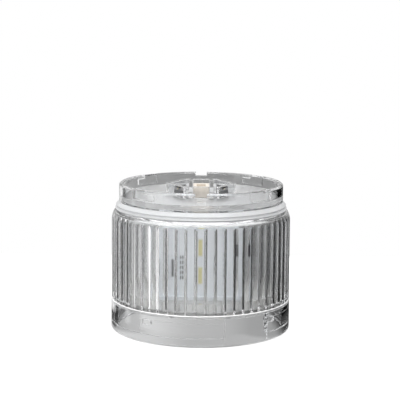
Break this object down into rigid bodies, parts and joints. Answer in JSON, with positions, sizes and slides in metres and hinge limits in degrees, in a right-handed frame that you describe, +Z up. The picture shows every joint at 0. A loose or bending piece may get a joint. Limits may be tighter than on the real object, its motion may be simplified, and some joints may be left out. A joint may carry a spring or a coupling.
{
  "type": "stack light tier module",
  "caption": "Clear fluted tier of a modular stack light: twist-lock collar and skirt, sealing gasket, upright LED boards and plug-in contacts.",
  "frame": {"origin": "centre of the skirt's bottom rim", "axes": "+Z up along the axis of the light, -Y the side that faces the camera"},
  "size_m": [0.06, 0.06, 0.0488],
  "materials": {
    "clear_plastic": "clear moulded polycarbonate, polished",
    "white_silicone": "translucent white silicone, satin",
    "natural_plastic": "clear natural plastic, faintly warm",
    "beige_plastic": "natural beige plastic, satin",
    "black_plastic": "moulded black plastic, satin",
    "white_board": "white solder mask on glass-fibre board",
    "led_housing": "white LED package",
    "led_phosphor": "yellow phosphor in clear silicone",
    "plated_brass": "plated spring brass",
    "chip_black": "black moulded chip package"
  },
  "bodies": {
    "root": {"base_board": "white_board", "base_plate": "natural_plastic", "chip_resistors": "chip_black", "front_led_board": "white_board", "front_led_fill_1": "led_phosphor", "front_led_fill_2": "led_phosphor", "front_led_housing_1": "led_housing", "front_led_housing_2": "led_housing", "gasket": "white_silicone", "globe": "clear_plastic", "left_blade_1": "plated_brass", "left_blade_2": "plated_brass", "left_blade_3": "plated_brass", "left_blade_4": "plated_brass", "left_blade_5": "plated_brass", "left_contact_1": "plated_brass", "left_contact_2": "plated_brass", "left_contact_3": "plated_brass", "left_contact_4": "plated_brass", "left_contact_5": "plated_brass", "left_contact_strip": "black_plastic", "left_led_board": "white_board", "left_led_fill_1": "led_phosphor", "left_led_fill_2": "led_phosphor", "left_led_housing_1": "led_housing", "left_led_housing_2": "led_housing", "rear_led_board": "white_board", "rear_led_fill_1": "led_phosphor", "rear_led_fill_2": "led_phosphor", "rear_led_housing_1": "led_housing", "rear_led_housing_2": "led_housing", "rectifier": "chip_black", "right_blade_1": "plated_brass", "right_blade_2": "plated_brass", "right_blade_3": "plated_brass", "right_blade_4": "plated_brass", "right_blade_5": "plated_brass", "right_contact_1": "plated_brass", "right_contact_2": "plated_brass", "right_contact_3": "plated_brass", "right_contact_4": "plated_brass", "right_contact_5": "plated_brass", "right_contact_strip": "black_plastic", "right_led_board": "white_board", "right_led_fill_1": "led_phosphor", "right_led_fill_2": "led_phosphor", "right_led_housing_1": "led_housing", "right_led_housing_2": "led_housing", "socket_core": "beige_plastic", "surge_diode": "chip_black", "top_board": "white_board"}
  },
  "joints": []
}
